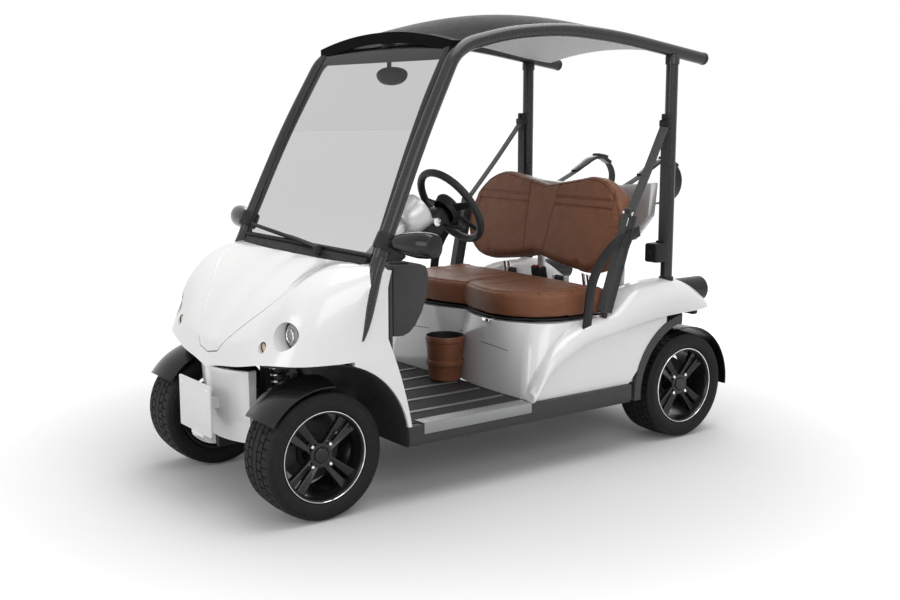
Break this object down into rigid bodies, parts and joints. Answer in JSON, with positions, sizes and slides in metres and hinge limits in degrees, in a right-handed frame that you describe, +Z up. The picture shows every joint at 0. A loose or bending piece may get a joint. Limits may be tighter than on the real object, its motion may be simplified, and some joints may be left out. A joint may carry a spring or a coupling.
{
  "type": "two-seat golf cart",
  "caption": "Open two-seat golf cart with a roof, windscreen, bench seat, steering, lifting seat and bonnet, and a bag carrier behind.",
  "frame": {"origin": "on the floor, under the centre of the cart's overall box", "axes": "+Z up, -Y the way the cart drives, +X the cart's left side"},
  "size_m": [1.4558, 2.286, 1.7782],
  "materials": {
    "body_white": "gloss",
    "black_gloss": "gloss",
    "black_trim": "satin, fine grain",
    "grey_trim": "matt grained",
    "grey_liner": "matt",
    "frame_black": "gloss powder coat",
    "dark_metal": "semi-matt",
    "plate_white": "satin, blank",
    "clear_glass": "clear, light grey tint",
    "lamp_lens": "polished lens",
    "mat_rubber": "matt",
    "bare_aluminium": "brushed",
    "silver": "satin silver",
    "shock_steel": "polished",
    "post_chrome": "polished",
    "brown_leather": "soft satin",
    "strap_webbing": "woven",
    "tyre_rubber": "matt",
    "alloy_black": "gloss"
  },
  "bodies": {
    "cart": {"arch_liners": "black_trim", "backrest": "brown_leather", "backrest_posts": "post_chrome", "bag_panel": "silver", "bag_straps": "strap_webbing", "bag_tray": "black_trim", "batteries": "black_trim", "belt_fittings": "black_trim", "belts": "strap_webbing", "bin": "brown_leather", "bumper": "body_white", "chassis": "dark_metal", "cowl": "black_trim", "dashboard": "black_trim", "floor_board": "dark_metal", "floor_mat": "mat_rubber", "floor_trim": "bare_aluminium", "front_body": "body_white", "front_suspension": "dark_metal", "hip_restraints": "black_trim", "instrument_pod": "silver", "lamps": "lamp_lens", "mirrors": "black_gloss", "number_plate": "plate_white", "pedals": "dark_metal", "rear_arch_trims": "black_trim", "rear_axle": "dark_metal", "rear_canisters": "black_gloss", "rear_mudguards": "black_trim", "rear_posts": "frame_black", "rear_wings": "body_white", "roof_header": "black_gloss", "roof_liner": "grey_liner", "roof_panel": "black_gloss", "roof_rails": "frame_black", "seat_base": "body_white", "shock_absorbers": "shock_steel", "side_pockets": "grey_trim", "sills": "grey_trim", "steering_column": "black_trim", "windscreen": "clear_glass", "wiper": "black_trim"},
    "bonnet": {"bonnet": "body_white"},
    "seat": {"seat_cushion": "brown_leather", "seat_pan": "black_trim"},
    "steering_wheel": {"steering_wheel": "black_trim"},
    "knuckle_left": {"knuckle_left": "dark_metal", "mudguard_left": "black_gloss"},
    "knuckle_right": {"knuckle_right": "dark_metal", "mudguard_right": "black_gloss"},
    "wheel_front_left": {"tyre_front_left": "tyre_rubber", "rim_front_left": "alloy_black"},
    "wheel_front_right": {"tyre_front_right": "tyre_rubber", "rim_front_right": "alloy_black"},
    "wheel_rear_left": {"tyre_rear_left": "tyre_rubber", "rim_rear_left": "alloy_black"},
    "wheel_rear_right": {"tyre_rear_right": "tyre_rubber", "rim_rear_right": "alloy_black"}
  },
  "joints": [
    {"name": "steer_left", "type": "hinge", "parent": "cart", "child": "knuckle_left", "pos_m": [0.35, -0.893, 0.228], "axis": [0, 0, 1], "range_deg": [-30, 30]},
    {"name": "steer_right", "type": "hinge", "parent": "cart", "child": "knuckle_right", "pos_m": [-0.35, -0.893, 0.228], "axis": [0, 0, 1], "range_deg": [-30, 30]},
    {"name": "steering_wheel_turn", "type": "hinge", "parent": "cart", "child": "steering_wheel", "pos_m": [0.25, -0.181, 1.035], "axis": [0, 0.8387, 0.5446], "range_deg": [-270, 270]},
    {"name": "bonnet_lift", "type": "hinge", "parent": "cart", "child": "bonnet", "pos_m": [0, -0.718, 0.864], "axis": [-1, 0, 0], "range_deg": [0, 60]},
    {"name": "seat_lift", "type": "hinge", "parent": "cart", "child": "seat", "pos_m": [0, 0.471, 0.692], "axis": [-1, 0, 0], "range_deg": [0, 35]},
    {"name": "front_left_spin", "type": "hinge", "parent": "knuckle_left", "child": "wheel_front_left", "pos_m": [0.412, -0.893, 0.228], "axis": [1, 0, 0], "continuous": true},
    {"name": "front_right_spin", "type": "hinge", "parent": "knuckle_right", "child": "wheel_front_right", "pos_m": [-0.412, -0.893, 0.228], "axis": [1, 0, 0], "continuous": true},
    {"name": "rear_left_spin", "type": "hinge", "parent": "cart", "child": "wheel_rear_left", "pos_m": [0.412, 0.887, 0.228], "axis": [1, 0, 0], "continuous": true},
    {"name": "rear_right_spin", "type": "hinge", "parent": "cart", "child": "wheel_rear_right", "pos_m": [-0.412, 0.887, 0.228], "axis": [1, 0, 0], "continuous": true}
  ],
  "couplings": [
    {"joint": "steer_right", "follows": "steer_left", "ratio": 1},
    {"joint": "steering_wheel_turn", "follows": "steer_left", "ratio": 9}
  ]
}
